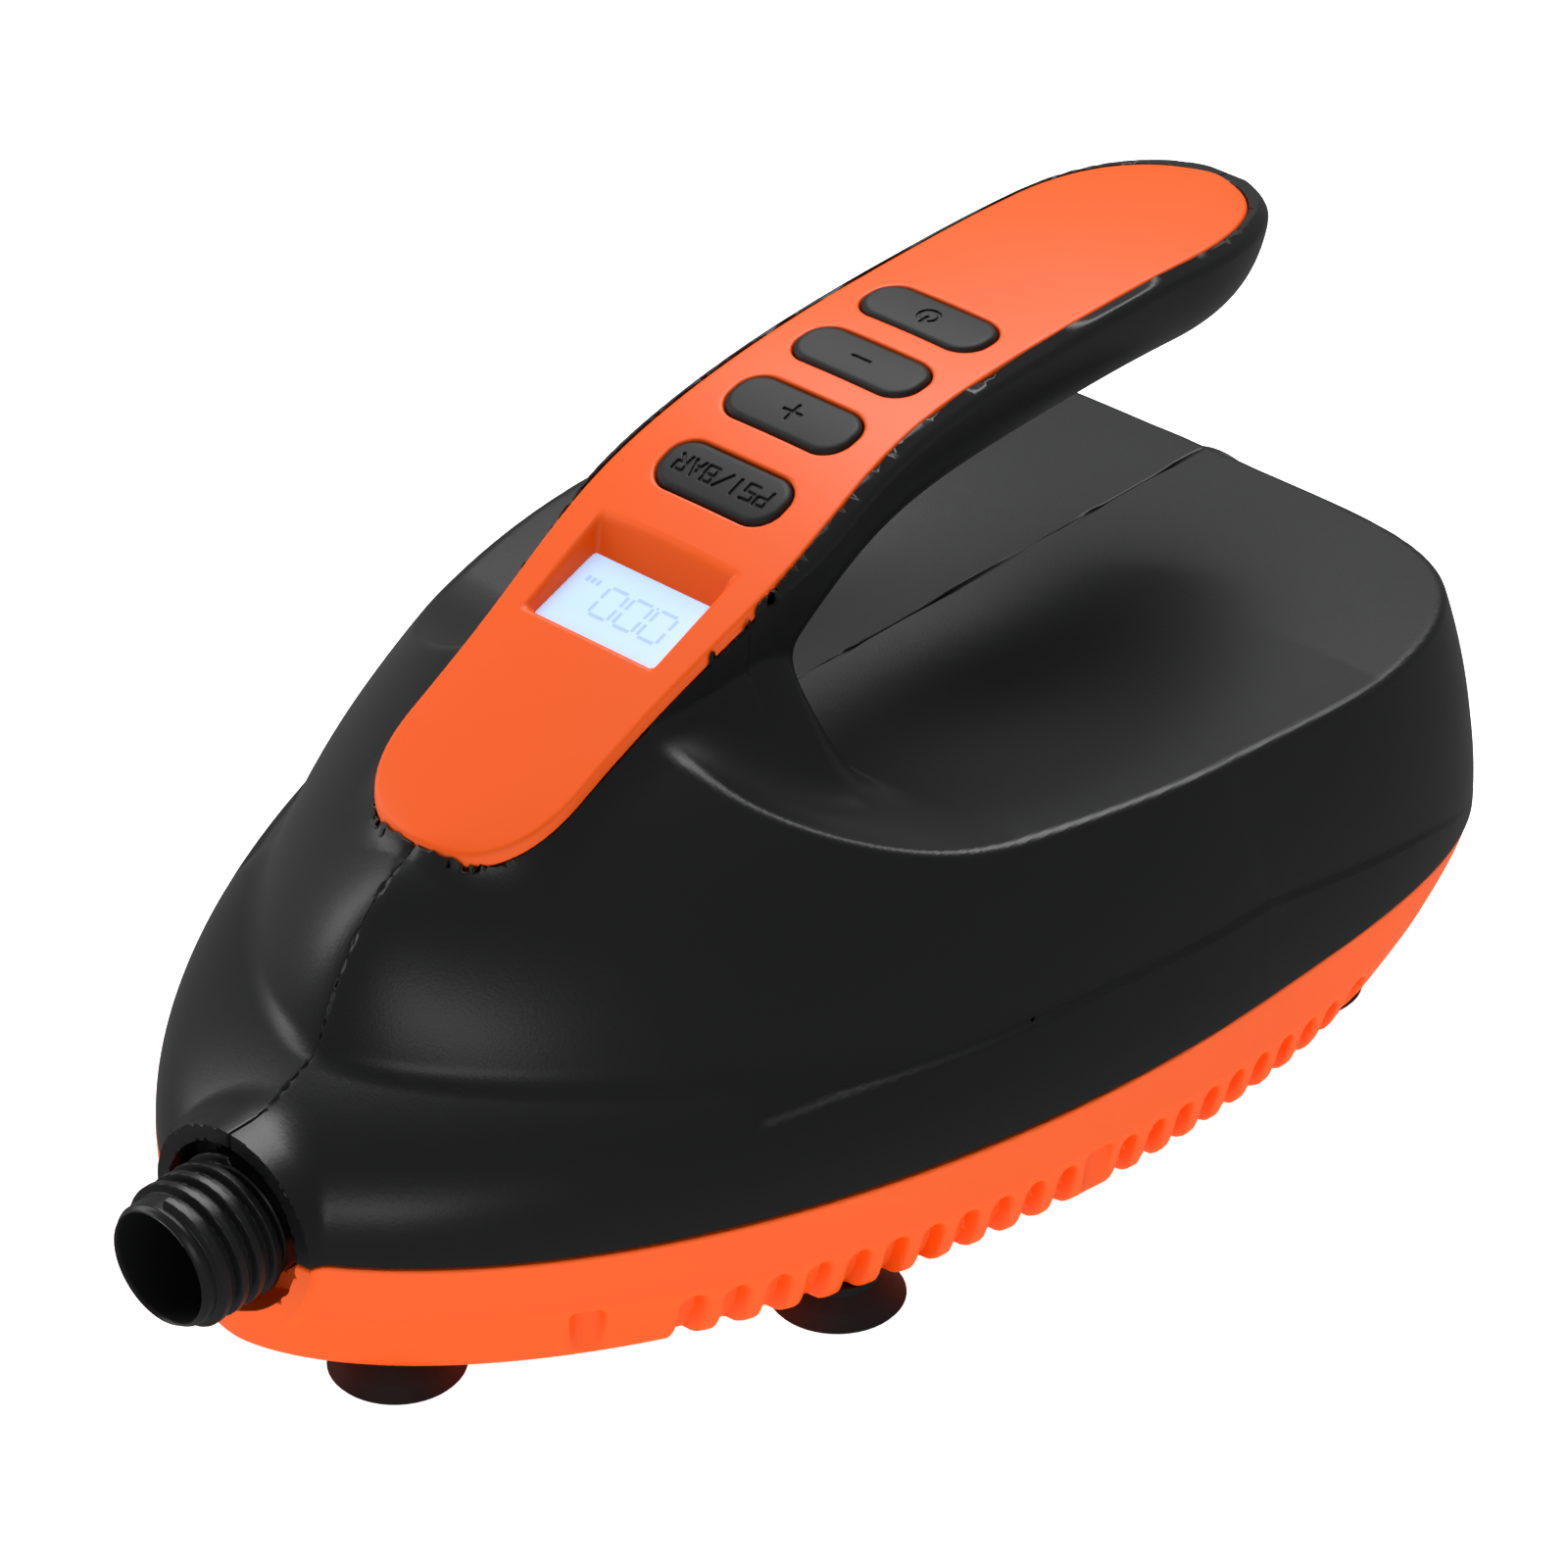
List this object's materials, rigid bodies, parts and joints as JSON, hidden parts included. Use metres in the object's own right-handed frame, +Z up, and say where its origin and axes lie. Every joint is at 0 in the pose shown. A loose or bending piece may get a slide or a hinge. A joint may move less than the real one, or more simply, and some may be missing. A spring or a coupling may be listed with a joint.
{
  "type": "electric board inflator pump",
  "caption": "Electric air pump with an iron-shaped two-part shell, open carrying handle with display and keys, vented base tray, suction feet and a threaded hose nozzle.",
  "frame": {"origin": "centre of the bounding box in plan, on the floor plane under the feet", "axes": "+X to the right half shell, +Y from the nozzle to the rear wall, +Z up"},
  "size_m": [0.19, 0.308, 0.1444],
  "materials": {
    "black_shell": "fine texture",
    "orange_body": "satin",
    "black_rubber": "matte",
    "lens": "clear",
    "light_guide": "lit",
    "steel": "plain",
    "alloy": "cast",
    "brass": "plain",
    "grey_plastic": "plain",
    "white_plastic": "plain",
    "board": "coated"
  },
  "bodies": {
    "housing": {"right_shell": "black_shell", "left_shell": "black_shell", "base_tray": "orange_body", "handle_panel": "orange_body", "display_glass": "lens", "display_module": "light_guide", "display_board": "board", "board_screws": "steel", "tact_switches": "steel", "nozzle": "black_shell", "nozzle_seal": "black_rubber", "suction_feet": "black_rubber", "base_screws": "steel", "rear_port": "black_shell", "port_nut": "black_shell", "port_screen": "grey_plastic", "power_inlet": "black_shell", "inlet_nut": "steel", "volute_cup": "grey_plastic", "volute_cover": "grey_plastic", "blower_screws": "steel", "blower_motor": "steel", "air_manifold": "grey_plastic", "valve_seat": "grey_plastic", "valve_flap": "black_rubber", "comp_frame": "alloy", "frame_screws": "steel", "comp_motor": "steel", "motor_screws": "steel", "gear_axle": "steel", "pump_cylinder": "alloy", "reed_plate": "steel", "cylinder_head": "alloy", "head_screws": "steel", "delivery_tube": "black_rubber", "main_board": "board", "board_parts": "grey_plastic", "pressure_sensor": "grey_plastic", "sensor_tube": "black_rubber", "inner_leads": "black_rubber"},
    "power_key": {"button_power": "black_rubber"},
    "minus_key": {"button_minus": "black_rubber"},
    "plus_key": {"button_plus": "black_rubber"},
    "units_key": {"button_units": "black_rubber"},
    "blower_rotor": {"blower_shaft": "steel", "impeller": "white_plastic"},
    "motor_rotor": {"motor_shaft": "steel", "pinion": "brass"},
    "crank": {"crank_gear": "white_plastic"},
    "piston": {"piston_rod": "alloy", "piston_seal": "black_rubber"}
  },
  "joints": [
    {"name": "units_press", "type": "slide", "parent": "housing", "child": "units_key", "axis": [0, 0.3666, -0.9304], "range_m": [0, 0.0008], "stiffness_N_per_m": 500, "springref_m": -0.0006},
    {"name": "plus_press", "type": "slide", "parent": "housing", "child": "plus_key", "axis": [0, 0.2437, -0.9699], "range_m": [0, 0.0008], "stiffness_N_per_m": 500, "springref_m": -0.0006},
    {"name": "minus_press", "type": "slide", "parent": "housing", "child": "minus_key", "axis": [0, 0.1025, -0.9947], "range_m": [0, 0.0008], "stiffness_N_per_m": 500, "springref_m": -0.0006},
    {"name": "power_press", "type": "slide", "parent": "housing", "child": "power_key", "axis": [0, 0.0373, -0.9993], "range_m": [0, 0.0008], "stiffness_N_per_m": 500, "springref_m": -0.0006},
    {"name": "blower_spin", "type": "hinge", "parent": "housing", "child": "blower_rotor", "pos_m": [0, -0.026, 0.03], "axis": [0, 0, 1], "continuous": true},
    {"name": "crank_spin", "type": "hinge", "parent": "housing", "child": "crank", "pos_m": [0.008, 0.041, 0.042], "axis": [0, 1, 0], "continuous": true},
    {"name": "pinion_spin", "type": "hinge", "parent": "housing", "child": "motor_rotor", "pos_m": [-0.022, 0.041, 0.042], "axis": [0, 1, 0], "continuous": true},
    {"name": "piston_stroke", "type": "slide", "parent": "housing", "child": "piston", "axis": [1, 0, 0], "range_m": [-0.007, 0.007]}
  ],
  "couplings": [
    {"joint": "pinion_spin", "follows": "crank_spin", "ratio": -4}
  ]
}
